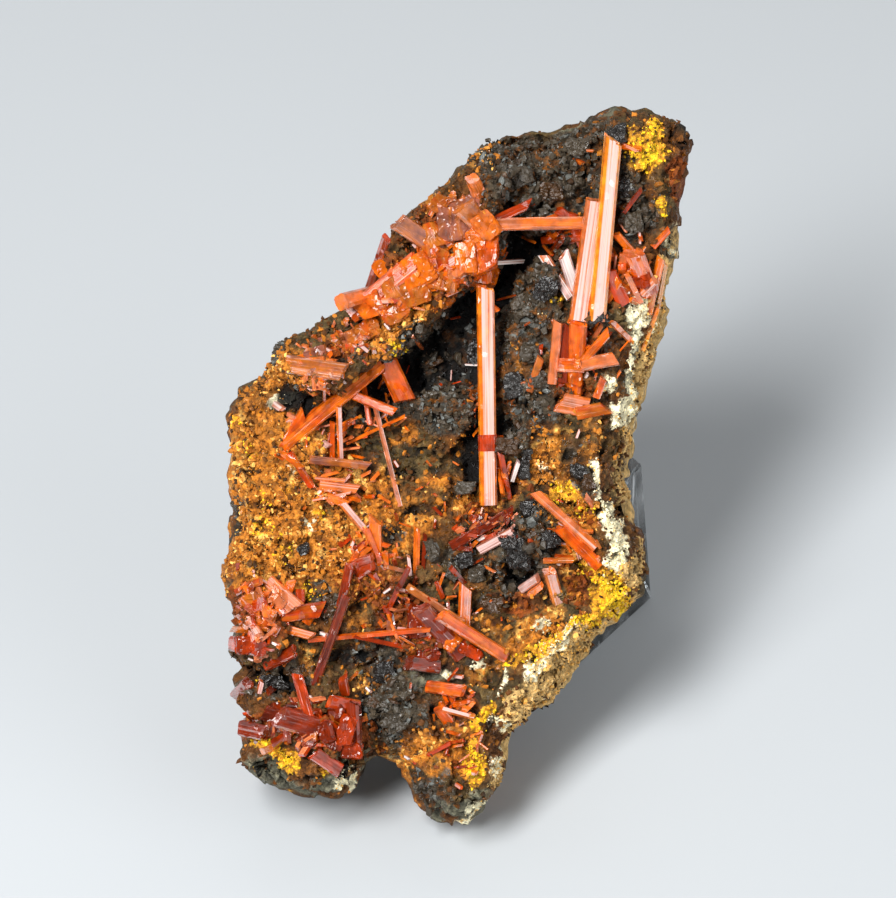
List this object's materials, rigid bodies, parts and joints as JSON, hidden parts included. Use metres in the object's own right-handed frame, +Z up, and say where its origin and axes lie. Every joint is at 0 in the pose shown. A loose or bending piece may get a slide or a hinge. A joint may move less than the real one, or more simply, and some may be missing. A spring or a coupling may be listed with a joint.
{
  "type": "mineral specimen",
  "caption": "Slab of brown limonite gossan with orange-red crocoite prisms across its face, leaning back on its feet against a clear block.",
  "frame": {"origin": "centre of the bounding box, on the ground", "axes": "+Z up, +X to the right and +Y away from a viewer in front of the crystal face, which leans back from -Y"},
  "size_m": [0.067, 0.0738, 0.0864],
  "materials": {
    "gossan": "earthy and rough",
    "crocoite": "adamantine, striated, translucent",
    "clear_acrylic": "clear, polished"
  },
  "bodies": {
    "root": {"amber_prism": "crocoite", "amber_rods": "crocoite", "brown_blade": "crocoite", "centre_left_rod": "crocoite", "centre_upright": "crocoite", "centre_upright_side": "crocoite", "clear_block": "clear_acrylic", "diagonal_rod": "crocoite", "diagonal_tail": "crocoite", "edge_knob": "crocoite", "fan_low_stub": "crocoite", "fan_plate": "crocoite", "flame_blade": "crocoite", "foot_left_red": "crocoite", "foot_plate": "crocoite", "foot_red_block": "crocoite", "hollow_blade": "crocoite", "lattice_strut": "crocoite", "left_low_block": "crocoite", "left_of_fan": "crocoite", "left_plate": "crocoite", "left_red_lump": "crocoite", "left_tan_rod": "crocoite", "left_upper_rod": "crocoite", "left_white_face": "crocoite", "left_white_plate": "crocoite", "link_to_yellow": "crocoite", "long_needle": "crocoite", "long_prism": "crocoite", "long_prism_side_rod": "crocoite", "low_right_rod": "crocoite", "maroon_block": "crocoite", "matrix_rock": "gossan", "orange_upright": "crocoite", "pink_block": "crocoite", "pink_plate_lower": "crocoite", "pink_plate_upper": "crocoite", "pink_rod": "crocoite", "plum_rod": "crocoite", "red_chunk": "crocoite", "ridge_amber_stub": "crocoite", "ridge_left_blade": "crocoite", "ridge_low_plate": "crocoite", "ridge_plate": "crocoite", "right_group_rod": "crocoite", "rim_rod": "crocoite", "rim_splinter": "crocoite", "rust_blade": "crocoite", "rust_plates": "crocoite", "slant_rod": "crocoite", "slant_rod_top": "crocoite", "sliver_right": "crocoite", "stub_dark_face": "crocoite", "tall_prism": "crocoite", "toe_needle": "crocoite", "white_rod_low": "crocoite", "white_spike": "crocoite", "white_tooth": "crocoite", "white_upright": "crocoite"}
  },
  "joints": []
}
